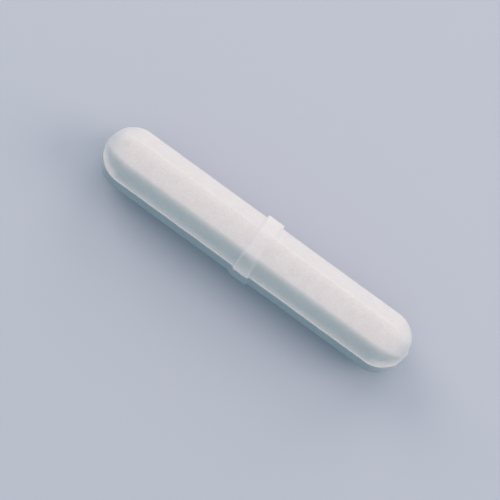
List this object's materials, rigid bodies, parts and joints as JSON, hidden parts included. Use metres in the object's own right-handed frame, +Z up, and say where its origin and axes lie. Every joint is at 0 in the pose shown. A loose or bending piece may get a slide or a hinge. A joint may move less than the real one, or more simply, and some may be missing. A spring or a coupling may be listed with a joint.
{
  "type": "magnetic stir bar",
  "caption": "Octagonal PTFE stir bar with domed ends and a pivot ring round its middle, closed round a bar magnet; it spins in a liquid above a stirrer's drive magnet.",
  "frame": {"origin": "on the surface the bar lies on, under the middle of the bar and of its pivot ring", "axes": "+X along the bar; +Z up; the bar lies on one of the eight faces of its pivot ring"},
  "size_m": [0.045, 0.0082, 0.0082],
  "materials": {
    "ptfe": "satin, waxy white, faintly grained as moulded",
    "alnico": "ground, dull grey"
  },
  "bodies": {
    "root": {"ptfe_jacket": "ptfe", "bar_magnet": "alnico"}
  },
  "joints": []
}
